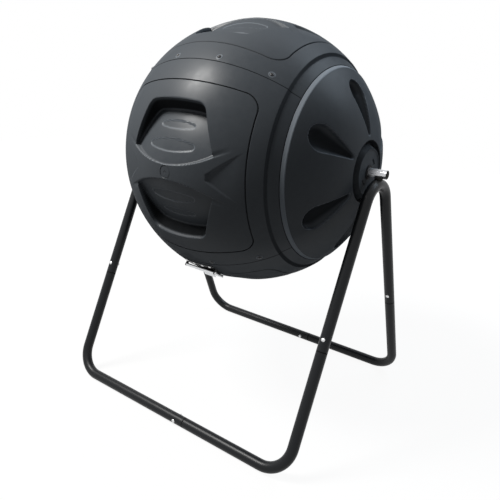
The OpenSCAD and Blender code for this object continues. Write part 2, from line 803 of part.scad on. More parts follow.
screw_grip = 2 * wall + lap_gap;
module seam_screws() color("#1d1f21") at_seam_screws() {
    translate([0, 0, seat_gap]) dome_head(screw_head_r, screw_d / 2);
    translate([0, 0, -screw_grip - nut_t - 2])
        cylinder(d = screw_d, h = screw_grip + nut_t + 2 + over);
}
module seam_nuts() color("#8c8f92") at_seam_screws()
    translate([0, 0, -screw_grip - nut_t - seat_gap])
        hex_nut(screw_nut_r, nut_t, screw_d / 2 + pin_gap);

// ---------- door hinge ----------

module at_hinge_axis() on_drum(panel_turns[DOORWAY]) both_sides()
    rotate([-hinge_turn, 0, 0]) translate([0, -hinge_at, 0]) rotate([0, 90, 0]) children();

module hinge_pins() color("#b9bcbf") at_hinge_axis() {
    translate([0, 0, pin_start]) cylinder(d = pin_d, h = pin_end - pin_start + 4);
    translate([0, 0, pin_start - 2]) cylinder(r = pin_d / 2 + 2, h = 2);
}
module hinge_clips() color("#8c8f92") at_hinge_axis() translate([0, 0, pin_end]) difference() {
    cylinder(r = pin_d / 2 + 3, h = 1.5);
    translate([0, 0, -over]) cylinder(r = pin_d / 2 + pin_gap, h = 4);
}

// ---------- latch ----------

latch_foot_from = latch_angle - 0.9;
latch_foot_to = latch_angle + 3.8;
ear_w = 3;
ear_x = latch_half + side_gap;
latch_pin_at = drum_r + latch_rise;

module strip(half_w) translate([0, -half_w]) square([2 * drum_r, 2 * half_w]);

// Sheet metal curved to the drum between two angles and two heights above it
module curved_sheet(from, to, half_w, low, high) revolve(from, to) intersection() {
    ring(drum_r + high, drum_r + low);
    strip(half_w);
}

// Sheet that is straight along the axle, between two radii
module straight_sheet(from, to, half_w, inner, outer)
    revolve(from, to) translate([inner, -half_w]) square([outer - inner, 2 * half_w]);

module latch_axis(r, half_w) rotate([-latch_angle, 0, 0]) translate([0, -latch_pin_at, 0])
    rotate([0, 90, 0]) cylinder(r = r, h = 2 * half_w, center = true);

module at_latch_rivets() for (x = [0.3, 0.8]) both_sides()
    at_skin(latch_foot_to - 1.2, x * latch_half) children();
module latch_holes() at_latch_rivets() translate([0, 0, -3 * wall])
    cylinder(r = rivet_r + pin_gap, h = 6 * wall);

module latch_base() color("#1d1f21") on_drum(panel_turns[DOORWAY]) difference() {
    union() {
        curved_sheet(latch_foot_from, latch_foot_to, ear_x + ear_w, seat_gap, sheet_t);
        difference() {
            both_sides() translate([ear_x, 0, 0]) rotate([-latch_angle, 0, 0]) rotate([90, 0, 90])
                linear_extrude(ear_w) union() {
                    translate([-latch_pin_at, 0]) circle(r = barrel_out_r);
                    translate([-latch_pin_at, -barrel_out_r])
                        square([latch_pin_at - drum_r + 10, 2 * barrel_out_r]);
                }
            ball(drum_r + seat_gap);
        }
    }
    latch_axis(latch_pin_r + pin_gap, 2 * ear_x);
    latch_holes();
}

module rivet(grip, head) {
    translate([0, 0, head]) dome_head(2 * rivet_r, 1.8);
    translate([0, 0, -grip]) cylinder(r = rivet_r, h = grip + head + 0.5);
    translate([0, 0, -grip - 1.5]) cylinder(r = 1.7 * rivet_r, h = 1.5);
}

module latch_rivets() color("#8c8f92") on_drum(panel_turns[DOORWAY])
    at_latch_rivets() rivet(wall + 2 * seat_gap, sheet_t + seat_gap);

module latch_pin() color("#b9bcbf") on_drum(panel_turns[DOORWAY]) {
    latch_axis(latch_pin_r, ear_x + ear_w + 0.5);
    both_sides() rotate([-latch_angle, 0, 0])
        translate([ear_x + ear_w + 0.3, -latch_pin_at, 0]) rotate([0, 90, 0])
            cylinder(r = latch_pin_r + 1.5, h = 1.5);
}

// The lever: barrel on the pin, plate over the doorway's edge, sprung lip and finger tab
module latch_lever() color("#c3c8cc") on_drum(panel_turns[DOORWAY]) difference() {
    union() {
        latch_axis(barrel_out_r, latch_half);
        straight_sheet(lever_end, latch_angle, plate_half, lever_r - sheet_t, lever_r);
        difference() {
            straight_sheet(lever_end, lever_end + lip_turn, plate_half, drum_r - 20, lever_r - 0.5);
            ball(drum_r + keeper_t + 0.4);
        }
        rotate([-lever_end, 0, 0]) translate([-tab_half, -lever_r, 1.5]) rotate([-25, 0, 0])
            translate([0, 0, -tab_len]) cube([2 * tab_half, sheet_t, tab_len]);
    }
    latch_axis(latch_pin_r + pin_gap, 2 * latch_half);
}

module at_keeper_rivets() for (x = [0.3, 0.8]) both_sides()
    at_skin(keeper_angle - 2.2, x * keeper_half) children();
module keeper_holes() at_keeper_rivets() translate([0, 0, -3 * wall])
    cylinder(r = rivet_r + pin_gap, h = 6 * wall);

// The keeper: a strip riveted to the door with a low rib that the lever's lip closes behind
module latch_keeper() color("#c3c8cc") on_drum(panel_turns[DOORWAY]) difference() {
    union() {
        curved_sheet(keeper_angle - 3.2, keeper_angle + 0.3, keeper_half, seat_gap, keeper_t);
        curved_sheet(keeper_angle, keeper_angle + 0.3, keeper_half, seat_gap, keeper_rib);
    }
    at_keeper_rivets() cylinder(r = rivet_r + pin_gap, h = 20, center = true);
}

module keeper_rivets() color("#8c8f92") on_drum(panel_turns[DOORWAY])
    at_keeper_rivets() rivet(wall + 2 * seat_gap, keeper_t + seat_gap);

peak_tube(-1);  // peak_tube_left
peak_tube(1);  // peak_tube_right
corner_tube(-1, -1);  // corner_tube_front_left
corner_tube(1, -1);  // corner_tube_front_right
corner_tube(-1, 1);  // corner_tube_rear_left
corner_tube(1, 1);  // corner_tube_rear_right
axle();
axle_plugs();
axle_saddles();
axle_bolts();
axle_nuts();
leg_bolts();
leg_nuts();
base_bolts();
base_nuts();
closed_panel(panel_turns[0]);  // panel_front
closed_panel(panel_turns[1]);  // panel_top
closed_panel(panel_turns[2]);  // panel_rear
panel_doorway();
end_cap(-1);  // end_cap_left
end_cap(1);  // end_cap_right
hub_bush(-1);  // hub_bush_left
hub_bush(1);  // hub_bush_right
seam_screws();
seam_nuts();
hinge_pins();
hinge_clips();
latch_base();
latch_rivets();
latch_pin();
latch_lever();
door();
latch_keeper();
keeper_rivets();
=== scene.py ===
"""Compost tumbler: the moulded drum shells, the finish of every part, the light and the camera.

Sizes are in millimetres and degrees, as in the CAD source, and scaled to metres in make_mesh.
A panel's own frame is (x along the axle, n outward through the panel's middle, v up).
"""
import json
import math

import bpy
import numpy as np
from mathutils import Matrix, Vector


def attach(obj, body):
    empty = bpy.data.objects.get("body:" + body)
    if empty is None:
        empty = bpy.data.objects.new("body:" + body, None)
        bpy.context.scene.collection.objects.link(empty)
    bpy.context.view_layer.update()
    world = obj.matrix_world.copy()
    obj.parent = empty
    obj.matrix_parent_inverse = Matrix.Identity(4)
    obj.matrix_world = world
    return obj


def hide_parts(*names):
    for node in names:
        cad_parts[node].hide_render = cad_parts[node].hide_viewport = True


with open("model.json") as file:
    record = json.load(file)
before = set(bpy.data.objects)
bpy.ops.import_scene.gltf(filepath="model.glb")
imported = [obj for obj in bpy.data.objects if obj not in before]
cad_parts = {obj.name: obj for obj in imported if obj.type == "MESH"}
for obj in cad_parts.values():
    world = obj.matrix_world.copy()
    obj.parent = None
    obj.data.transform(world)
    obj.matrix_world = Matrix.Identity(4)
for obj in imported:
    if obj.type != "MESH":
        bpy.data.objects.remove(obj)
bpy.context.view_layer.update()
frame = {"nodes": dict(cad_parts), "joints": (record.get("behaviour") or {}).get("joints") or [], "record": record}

# ---------------------------------------------------------------- sizes
R = 398.0
WALL = 4.0
LAP_R = R - WALL - 0.4
BAND = 4.5
TUBE_R = 15.9
STEP_LAT, RIM_LAT, STEP_RUN = 39.2, 45.2, 1.6
SEAM_GAP = 1.5
SEAM_TURN = math.degrees(math.asin(SEAM_GAP / 2 / R))
LID_HALF, LID_ANGLE, LID_CORNER = 217.0, 35.6, 40.0
DOOR_INSET, SEAT_IN, SEAT_OUT = 1.5, 14.0, 6.0
PAD_R, PAD_RIM, PAD_SINK, EDGE_R = 19.0, 1.2, 0.8, 0.9
HINGE_X, LUG_W, LUG_SIDE_W, SIDE_GAP, PIN_R = 90.0, 24.0, 6.0, 0.4, 3.05
LUG_R, HINGE_AT = 6.5, math.sqrt(R * R - HINGE_X ** 2) + 12
SCREW_X, SCREW_IN = (72.0, 210.0), 15.0
DRUM_TURN = -2.2
HUB_X, HUB_LEN, BUSH_R = R - 5, 46.0, 16.5
JOINTS = {j["name"]: j for j in frame["joints"]}
AXLE_Z = JOINTS["drum_turn"]["pos_m"][2] * 1000
GRID, SHARP_ANGLE = 2.2, 38
# the stand: half the base's depth, height of its corner, share of a leg below its tube joint,
# place of the base bars' joint, half width of the dark line at a joint
HALF_BASE, APEX_H, LEG_SHARE, BAR_JOINT, JOINT_LINE = 373.0, 846.0, 0.375, 66.0, 1.6


# ---------------------------------------------------------------- small maths
def ramp(x, a, b):
    t = np.clip((x - a) / (b - a), 0, 1)
    return t * t * (3 - 2 * t)


def smin(a, b, k):
    h = np.clip(1 - np.abs(a - b) / k, 0, 1)
    return np.minimum(a, b) - h * h * k * 0.25


def smax(a, b, k):
    return -smin(-a, -b, k)


def root(a):
    return np.sqrt(np.maximum(a, 1.0))


def lines(stops):
    """Grid lines through (place, spacing) stops, spaced as the stretch before each stop says."""
    out = [stops[0][0]]
    for (a, _), (b, h) in zip(stops, stops[1:]):
        k = max(1, int(math.ceil((b - a) / h)))
        out += [a + (b - a) * i / k for i in range(1, k + 1)]
    return np.array(out)


def mirrored(half):
    return np.concatenate([-half[:0:-1], half])


# ---------------------------------------------------------------- meshes
def make_mesh(name, verts, faces, painted_light):
    """verts in mm, faces as a list of arrays of quads, and the painted light from -1 (painted shade) to 1 (painted
    highlight).
    """
    faces = np.concatenate([np.asarray(f, np.int64).reshape(-1, 4) for f in faces])
    used, faces = np.unique(faces, return_inverse=True)
    faces = faces.reshape(-1, 4)
    verts = np.asarray(verts)[used] * 0.001
    me = bpy.data.meshes.new(name)
    me.vertices.add(len(verts))
    me.vertices.foreach_set("co", verts.astype(np.float32).ravel())
    me.loops.add(faces.size)
    me.loops.foreach_set("vertex_index", faces.astype(np.int32).ravel())
    me.polygons.add(len(faces))
    me.polygons.foreach_set("loop_start", np.arange(0, faces.size, 4, dtype=np.int32))
    me.polygons.foreach_set("use_smooth", np.ones(len(faces), bool))
    me.update(calc_edges=True)
    me.set_sharp_from_angle(angle=math.radians(SHARP_ANGLE))
    # the painted light is kept on the mesh for the material: painted shade below 0, painted highlight above 0
    shade = me.attributes.new("painted_light", "FLOAT", "POINT")
    shade.data.foreach_set("value", np.asarray(painted_light)[used].astype(np.float32))
    obj = bpy.data.objects.new(name, me)
    bpy.context.scene.collection.objects.link(obj)
    return obj


def quads(rows, cols, keep=None, first=0):
    """Quads of a rows x cols grid of vertices."""
    i = np.arange(rows * cols).reshape(rows, cols) + first
    q = np.stack([i[:-1, :-1], i[1:, :-1], i[1:, 1:], i[:-1, 1:]], -1)
    return q[keep] if keep is not None else q.reshape(-1, 4)


def rim_walls(q, shift):
    """Quads that join the free edges of the outer quads q to the same edges, shift further on."""
    e = np.concatenate([q[:, [k, (k + 1) % 4]] for k in range(4)])
    top = e.max() + 1
    key, back = e[:, 0] * top + e[:, 1], e[:, 1] * top + e[:, 0]
    free = e[~np.isin(key, back)]
    return np.stack([free[:, 1], free[:, 0], free[:, 0] + shift, free[:, 1] + shift], -1)


def to_world(p, turn):
    """Points (x, n, v) of a panel whose middle is at that angle, into the row frame."""
    a = math.radians(turn + DRUM_TURN)
    x, n, v = p[..., 0], p[..., 1], p[..., 2]
    return np.stack([x, -n * math.cos(a) + v * math.sin(a),
                     AXLE_Z + n * math.sin(a) + v * math.cos(a)], -1)


# ---------------------------------------------------------------- panel forms
GRIP_TILT = math.radians(45)
GRIP_TOP, GRIP_FOOT, GRIP_LOW = 93.0, 139.0, 2.8
GRIP_CORNER, GRIP_OFFSET = 28.0, 112.0
FLOOR_R = math.sqrt((R - 3) ** 2 + GRIP_OFFSET ** 2
                    + 2 * (R - 3) * GRIP_OFFSET * math.sin(math.radians(GRIP_LOW)))


def tilted(x, angle):
    return math.sqrt(R * R - x * x) * math.sin(math.radians(angle) - GRIP_TILT)


TOP, FOOT, LOW = tilted(0, 27.8), tilted(GRIP_FOOT, 8), tilted(0, GRIP_LOW)
OUT = np.array([TOP - FOOT, GRIP_FOOT - GRIP_TOP])
OUT = OUT / np.linalg.norm(OUT)
REACH = OUT @ np.array([GRIP_TOP, TOP])
MID_V = TOP - GRIP_CORNER
MID_U = (REACH - GRIP_CORNER - OUT[1] * MID_V) / OUT[0]
LOW_ARC = (GRIP_FOOT ** 2 + (FOOT - LOW) ** 2) / (2 * (FOOT - LOW))


def grip_walls(x, v, skin, grow):
    """Depth limits of a hand recess: its end and side walls, and the ramp at its low edge."""
    u = np.abs(x)
    r = GRIP_CORNER + grow
    arc = MID_V + root(r * r - np.maximum(u - MID_U, 0) ** 2)
    side = (REACH + grow - OUT[0] * u) / OUT[1]
    top = np.where(u < MID_U + r * OUT[0], arc, side)
    low = LOW + LOW_ARC - root((LOW_ARC + grow) ** 2 - x * x)
    inside = (v - skin) / math.sqrt(2) - low
    return v - math.sqrt(2) * top, skin - 2.6 * inside


# the two sunk ovals of a hand recess's floor: angle, half length, half height
OVALS = ((10.3, 78, 17), (18.7, 60, 12))


def oval_distance(x, v, floor):
    """Distance from the two sunk ovals of a hand recess's floor, negative inside."""
    out = []
    for angle, half, h in OVALS:
        a = math.radians(angle)
        w = v * math.cos(a) - floor * math.sin(a)
        arc = ((1.25 * half) ** 2 + h ** 2) / (2 * h)
        g = np.maximum(np.hypot(x, w - (arc - h)), np.hypot(x, w + (arc - h))) - arc
        out.append(smax(g, np.abs(x) - half, 9))
    return np.minimum(*out)


def grip(x, v, skin, grow=0.0):
    v = np.abs(v)
    floor = root((FLOOR_R - grow) ** 2 - (v + GRIP_OFFSET) ** 2 - x * x)
    if grow == 0:
        floor = floor - 1.9 * ramp(-oval_distance(x, v, floor), -0.5, 1.9)
    wall, low = grip_walls(x, v, skin, grow)
    return smax(smax(floor, wall, 7.0), low, 1.6)


# inner end, outer end, half width at each, depth at the inner end
NOTCH = (122.0, 190.0, 8.0, 56.0, 6.0)


def notch(x, v, skin, grow=0.0):
    """Notch beside the middle band: deepest at its inner end, flush at its outer one."""
    a, b, ha, hb, deep = NOTCH
    on_a, on_b = math.sqrt(R * R - a * a), math.sqrt(R * R - b * b)
    inward = deep / (on_a / R - on_b / b * a / R)
    sideways = inward * on_b / b
    u = np.abs(x)
    half = ha + (u - a) * (hb - ha) / (b - a)
    edge = np.maximum(a - u, (np.abs(v) - half) * 0.82) - grow
    floor = root((R - grow) ** 2 - (u - sideways) ** 2 - v * v) - inward
    return smax(floor, skin + 2.2 * edge, 2.0)


def band_crease(x, v):
    """How far the skin sinks beyond a recess's low edge, where that edge runs on and fades."""
    u = np.abs(x)
    over = np.abs(v) - (51.9 + (u - GRIP_FOOT) * 18 / 46)
    fade = ramp(u, 134, 139.5) * (1 - ramp(u, 140, 190))
    return 2.2 * fade * ramp(over, -1.2, 1.6) * (1 - ramp(over, 2, 17))


def lid_distance(x, n, v):
    """Distance from the lid outline, negative inside it."""
    a = math.radians(LID_ANGLE)
    w = np.abs(v) * math.cos(a) - n * math.sin(a)
    qx, qw = np.abs(x) - (LID_HALF - LID_CORNER), w + LID_CORNER
    return (np.hypot(np.maximum(qx, 0), np.maximum(qw, 0))
            + np.minimum(np.maximum(qx, qw), 0) - LID_CORNER)


def edge_distance(lat, turn, lid, lidded):
    """Distance in from the panel's free edges: its seams, its ends and the gap round the door."""
    mm = R * math.pi / 180
    edge = np.minimum((45 - SEAM_TURN - np.abs(turn)) * mm * np.cos(np.radians(lat)),
                      (RIM_LAT - np.abs(lat)) * mm)
    if lidded:
        return edge
    return np.minimum(edge, np.where(lid < -DOOR_INSET / 2, -DOOR_INSET - lid, lid))


def screw_distance(x, n, v, at):
    """Distance from the axis of the seam screws that stand at that x, left and right."""
    high = math.sqrt(R * R - at * at)
    aim = math.radians(45 - math.degrees(SCREW_IN / high))
    return np.hypot(np.abs(x) - at, v * math.cos(aim) + n * math.sin(aim))


def skin(lat, turn, sunk=0.0):
    """The plain skin: a ball with the soft step down to the channel at each end."""
    step = ramp(np.abs(lat), STEP_LAT + 0.05, STEP_LAT + 1.5)
    r = R - sunk - BAND * step
    la, tu = np.radians(lat), np.radians(turn)
    return r * np.sin(la), r * np.cos(la) * np.cos(tu), r * np.cos(la) * np.sin(tu)


def panel_front(lat, turn, lidded):
    x, n, v = skin(lat, turn)
    lid = lid_distance(x, n, v)
    n = n - band_crease(x, v)
    if lidded:
        # the groove that draws the lid on a closed panel
        n = n - 2.4 * ramp(lid, -3.3, -2.4) * (1 - ramp(lid, -0.6, 0.3))
    # free edges are turned over
    turned = 1 - np.clip(edge_distance(lat, turn, lid, lidded), 0, EDGE_R) / EDGE_R
    n = n - EDGE_R * (1 - np.sqrt(1 - 0.98 * turned * turned))
    # the raised ring round each seam screw
    for at in SCREW_X:
        near = screw_distance(x, n, v, at)
        n = n + 0.9 * (1 - ramp(near, 7.4, 8.8)) * ramp(near, 4.6, 5.8)
    base = n
    n = smin(n, grip(x, v, base), 2.6)
    n = smin(n, notch(x, v, base), 1.4)
    # the pad: a low rim, a sunk face and the small moulding mark in its middle
    centre = np.hypot(x, v)
    pad = root(R * R - x * x - v * v) + 0.3
    pad = pad - (PAD_SINK + 0.3) * (1 - ramp(centre, PAD_R - PAD_RIM - 0.9, PAD_R - PAD_RIM))
    pad = pad - 0.9 * (1 - ramp(np.abs(centre - 16.6), 0.3, 1.2))
    pad = pad - 1.2 * (1 - ramp(centre, 2.4, 3.6)) + 1.4 * (1 - ramp(centre, 0.6, 1.6))
    n = n + (pad - n) * (1 - ramp(centre, PAD_R - 0.5, PAD_R + 0.6))
    return np.stack([x, n, v], -1)


def panel_painted_light(lat, turn, lidded):
    """Painted shade in the gaps, at the step and under the gripped edges.

    Painted highlights on the ridges, round the recesses' ovals and on the screw rings.
    """
    x, n, v = skin(lat, turn)
    lid = lid_distance(x, n, v)
    # painted shade in the gaps at the free edges, and in the lid groove
    painted_shade = 1 - ramp(edge_distance(lat, turn, lid, lidded), 0.1, 1.0)
    if lidded:
        painted_shade = np.maximum(painted_shade, ramp(lid, -3.4, -2.6) * (1 - ramp(lid, -0.5, 0.3)))
    # painted shade at the step down to the channel
    past = np.abs(lat) - STEP_LAT
    painted_shade = np.maximum(painted_shade, 0.6 * ramp(past, 0, 0.3) * (1 - ramp(past, 1.3, 1.8)))
    deep = grip(x, v, n)
    floor = root(FLOOR_R ** 2 - (np.abs(v) + GRIP_OFFSET) ** 2 - x * x)
    sunk = n - deep
    # painted shade on the recesses' walls under their gripped edges
    painted_shade = np.maximum(painted_shade, ramp(deep - floor, 2.5, 8) * ramp(sunk, 5, 14))
    # painted highlight on the ridge along a recess's low edge
    low = 1 - ramp(np.abs(v), 60, 80)
    painted_highlight = 0.7 * low * ramp(sunk, 0.05, 0.5) * (1 - ramp(sunk, 1.2, 2.4))
    # painted highlight round the recesses' sunk ovals
    oval = np.abs(oval_distance(x, np.abs(v), floor) + 0.4)
    painted_highlight = np.maximum(painted_highlight, 0.5 * (1 - ramp(oval, 0.6, 1.8)) * ramp(sunk, 2.5, 4))
    # painted highlight on the rings round the seam screws
    for at in SCREW_X:
        near = screw_distance(x, n, v, at)
        painted_highlight = np.maximum(painted_highlight, 0.6 * ramp(near, 5.0, 5.6) * (1 - ramp(near, 8.0, 9.0)))
    return np.where(painted_shade > 0.02, -painted_shade, painted_highlight)


def panel_back(lat, turn):
    x, n, v = skin(lat, turn, WALL)
    outer = n + WALL
    n = smin(n, grip(x, v, outer, WALL), 4.5)
    n = smin(n, notch(x, v, outer, WALL), 3.0)
    return np.stack([x, n, v], -1)


def panel_grid():
    """Grid lines in latitude and turn, closer at the pad, screws, seams, step and lid groove."""
    mm = 180 / math.pi / R
    fine = GRID * 0.45 * mm
    edge = 45 - SEAM_TURN
    lat = lines([(0, 1), (3.1, fine * 0.8), (9, GRID * mm), (11.8, fine), (28.2, GRID * mm),
                 (33.9, fine), (38.6, GRID * mm), (41.2, fine),
                 (RIM_LAT - 1.2 * mm, GRID * mm), (RIM_LAT - 0.6 * mm, 0.5 * mm),
                 (RIM_LAT - 0.2 * mm, 0.5 * mm), (RIM_LAT, mm)])
    turn = lines([(0, 1), (3.1, fine * 0.8), (29.3, GRID * mm), (36.1, fine),
                  (41.2, GRID * mm), (edge - 1.2 * mm, fine), (edge - 0.6 * mm, 0.5 * mm),
                  (edge - 0.2 * mm, 0.4 * mm), (edge, mm)])
    return mirrored(lat), mirrored(turn)


def snap(lat, turn, low, high):
    """Moves grid points onto the contours where the lid distance is low or high.

    Gives the grid and the cells that lie between the two.
    """
    keep = np.ones(lat.shape, bool)
    for target, sign in ((low, -1), (high, 1)):
        if target is None:
            continue

        def dist(la, tu):
            return lid_distance(*skin(la, tu)) - target

        d = dist(lat, turn)
        near = np.zeros(d.shape, bool)
        for axis in (0, 1):
            a, b = [slice(None)] * 2, [slice(None)] * 2
            a[axis], b[axis] = slice(None, -1), slice(1, None)
            a, b = tuple(a), tuple(b)
            cross = d[a] * d[b] < 0
            first = np.abs(d[a]) <= np.abs(d[b])
            near[a] |= cross & first
            near[b] |= cross & ~first
        e = 1e-4
        for _ in range(3):
            d0 = dist(lat, turn)
            gl = (dist(lat + e, turn) - d0) / e
            gt = (dist(lat, turn + e) - d0) / e
            k = np.where(near, d0 / np.maximum(gl * gl + gt * gt, 1e-9), 0)
            lat, turn = lat - gl * k, turn - gt * k
        keep &= (sign * dist(lat, turn) <= 1e-3) | near
    return lat, turn, keep[:-1, :-1] & keep[1:, :-1] & keep[1:, 1:] & keep[:-1, 1:]


def slab(lat, turn, outer, inner, cells, place, first):
    """A closed piece of shell between two radii."""
    sides = []
    la, tu = np.radians(lat), np.radians(turn)
    for r in (outer, inner):
        sides.append(to_world(np.stack([r * np.sin(la), r * np.cos(la) * np.cos(tu),
                                        r * np.cos(la) * np.sin(tu)], -1), place).reshape(-1, 3))
    q = quads(*lat.shape, keep=cells, first=first)
    return sides, [q, q[:, ::-1] + lat.size, rim_walls(q, lat.size)]


def lug(x0, x1, side, place, first):
    """A hinge lug from x0 to x1: a rounded eye on a root that leans to one side (-1 or 1)."""
    a = math.radians(-LID_ANGLE)
    foot = math.sqrt(R * R - max(abs(x0), abs(x1)) ** 2) - WALL / 2
    path = [(HINGE_AT + LUG_R * math.cos(t), LUG_R * math.sin(t))
            for t in np.linspace(math.pi / 2, -math.pi / 2, 17)]
    ends = [(foot, side * 12 - 6), (foot, side * 12 + 6)]
    for p, q in ((path[-1], ends[0]), (ends[0], ends[1]), (ends[1], path[0])):
        path += [(p[0] + (q[0] - p[0]) * k / 6, p[1] + (q[1] - p[1]) * k / 6)
                 for k in range(1, 7)]
    path = np.array(path[:-1])
    rel = path - (HINGE_AT, 0)
    bore = rel / np.linalg.norm(rel, axis=1)[:, None] * PIN_R + (HINGE_AT, 0)
    soft = rel * (1 - 0.7 / np.linalg.norm(rel, axis=1)[:, None]) + (HINGE_AT, 0)
    rings = []
    for ring, x in ((bore, x0), (soft, x0), (path, x0 + 0.7), (path, x1 - 0.7), (soft, x1),
                    (bore, x1)):
        r, t = ring[:, 0], ring[:, 1]
        rings.append(np.stack([np.full(len(r), x), r * math.cos(a) - t * math.sin(a),
                               r * math.sin(a) + t * math.cos(a)], -1))
    n = len(path)
    i = np.arange(6 * n).reshape(6, n) + first
    nxt, below = np.roll(i, -1, 1), np.roll(i, -1, 0)
    q = np.stack([i, nxt, np.roll(nxt, -1, 0), below], -1).reshape(-1, 4)
    return to_world(np.array(rings), place).reshape(-1, 3), q


# the strip that laps under the next panel: half its length, where it starts and ends
LAP_LAT, LAP_FROM, LAP_TO = 36.4, 43.8, 45 + math.degrees(28 / R)


def panel(name, turn, body, cut):
    """A panel's shell with its seam strip; cut says whether it is the door or the doorway.

    The doorway has the seat that the door closes on, and both have hinge lugs.
    """
    lat, tu = np.meshgrid(*panel_grid(), indexing="ij")
    keep = None
    if cut == "door":
        lat, tu, keep = snap(lat, tu, None, -DOOR_INSET)
    elif cut == "doorway":
        lat, tu, keep = snap(lat, tu, 0.0, None)
    front = to_world(panel_front(lat, tu, cut is None), turn).reshape(-1, 3)
    back = to_world(panel_back(lat, tu), turn).reshape(-1, 3)
    q = quads(*lat.shape, keep=keep)
    k = lat.size
    verts, faces = [front, back], [q, q[:, ::-1] + k, rim_walls(q, k)]
    # painted shade and painted highlights on the panel's outer face
    painted_light = panel_painted_light(lat, tu, cut is None).ravel()
    first = 2 * k
    if cut != "door":
        la, tu = np.meshgrid(np.linspace(-LAP_LAT, LAP_LAT, 49),
                             np.linspace(LAP_FROM, LAP_TO, 6), indexing="ij")
        more, q = slab(la, tu, LAP_R - 1.5, LAP_R - WALL, None, turn, first)
        verts += more
        faces += q
        first += 2 * la.size
    if cut == "doorway":
        la, tu = np.meshgrid(mirrored(lines([(0, 1), (36, 0.9)])),
                             mirrored(lines([(0, 1), (38, 0.9)])), indexing="ij")
        la, tu, cells = snap(la, tu, -SEAT_IN, SEAT_OUT)
        more, q = slab(la, tu, LAP_R, LAP_R - WALL, cells, turn, first)
        verts += more
        faces += q
        first += 2 * la.size
    if cut:
        mid = LUG_W / 2
        spans = ([(-mid, mid)] if cut == "door" else
                 [(-mid - SIDE_GAP - LUG_SIDE_W, -mid - SIDE_GAP),
                  (mid + SIDE_GAP, mid + SIDE_GAP + LUG_SIDE_W)])
        for at in (-HINGE_X, HINGE_X):
            for x0, x1 in spans:
                v, q = lug(at + x0, at + x1, 1 if cut == "door" else -1, turn, first)
                verts.append(v)
                faces.append(q)
                first += len(v)
    verts = np.concatenate(verts)
    obj = make_mesh(name, verts, faces, np.pad(painted_light, (0, len(verts) - k)))
    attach(obj, body)
    return obj


# ---------------------------------------------------------------- end caps
TEAR_FAT, TEAR_FAT_R, TEAR_TIP, TEAR_TIP_R = 207.0, 35.0, 106.0, 7.0
TEAR_DEPTH, TEAR_TIP_DEPTH = 28.0, 9.0
# vent slots in the hub's face: angles of their middles, half run, radius, half width, depth
SLOT_TURNS, SLOT_RUN, SLOT_R, SLOT_HALF, SLOT_DEEP = (137, 317), 13, 38, 3, 3.6


def on_ball(r):
    return np.sqrt(R * R - np.asarray(r) ** 2)


def tear_distance(r, a):
    """Distance from the nearest of six teardrops, negative inside, and its half width there."""
    a = np.degrees(a) % 60 - 30
    x, y = r * np.cos(np.radians(a)), np.abs(r * np.sin(np.radians(a)))
    lean = -(TEAR_FAT_R - TEAR_TIP_R) / (TEAR_FAT - TEAR_TIP)
    c = math.sqrt(1 - lean * lean)
    along = (x - TEAR_TIP) * c - y * lean       # along the straight side, from the tip circle
    side = (x - TEAR_TIP) * lean + y * c - TEAR_TIP_R
    span = (TEAR_FAT - TEAR_TIP) * c
    fat = np.hypot(x - TEAR_FAT, y) - TEAR_FAT_R
    tip = np.hypot(x - TEAR_TIP, y) - TEAR_TIP_R
    half = TEAR_TIP_R + (TEAR_FAT_R - TEAR_TIP_R) * np.clip(along / span, 0, 1)
    return np.where(along < 0, tip, np.where(along > span, fat, side)), half


def tear_drop(r, a, base, grow=0.0):
    """A scooped recess: steep at its edge and rounded across, with a sloping deepest line."""
    tip_x = float(on_ball(TEAR_TIP)) - TEAR_TIP_DEPTH
    fat_x = float(on_ball(TEAR_FAT)) - TEAR_DEPTH
    floor = tip_x + (r - TEAR_TIP) * (fat_x - tip_x) / (TEAR_FAT - TEAR_TIP) - grow
    edge, half = tear_distance(r, a)
    if grow:
        return smin(base, smax(floor, base + 3.2 * (edge - grow), 7.0), 3.6)
    inside = np.clip((-edge - 0.3) / half, 0, 1)
    scoop = base - (base - floor) * (1 - (1 - inside) ** 2) ** 0.62
    # the turned-over edge
    lip = 0.8 * (1 - ramp(edge, -0.3, 2.4))
    return np.minimum(scoop, base) - np.where(edge > -0.3, lip, 0.8) * (1 - inside)


def rounded(points, h):
    """A (r, x) path with each (r, x, radius) corner rounded, sampled about h apart."""
    out = []
    for i, p in enumerate(points):
        p0 = np.array(p[:2], float)
        rad = p[2] if len(p) > 2 else 0
        if rad and 0 < i < len(points) - 1:
            a = np.array(points[i - 1][:2], float) - p0
            b = np.array(points[i + 1][:2], float) - p0
            a, b = a / np.linalg.norm(a), b / np.linalg.norm(b)
            half = math.acos(np.clip(a @ b, -1, 1)) / 2
            cut = rad / math.tan(half)
            for t in np.linspace(0, 1, 5):
                out.append((1 - t) ** 2 * (p0 + a * cut) + 2 * t * (1 - t) * p0
                           + t * t * (p0 + b * cut))
        else:
            out.append(p0)
    path = [out[0]]
    for p in out[1:]:
        k = max(1, int(math.ceil(np.linalg.norm(p - path[-1]) / h)))
        q = path[-1]
        path += [q + (p - q) * j / k for j in range(1, k + 1)]
    return path


def arc_path(r, lat_a, lat_b, h):
    k = max(2, int(abs(lat_b - lat_a) * math.pi / 180 * r / h))
    return [np.array([r * math.cos(math.radians(t)), r * math.sin(math.radians(t))])
            for t in np.linspace(lat_a, lat_b, k)]


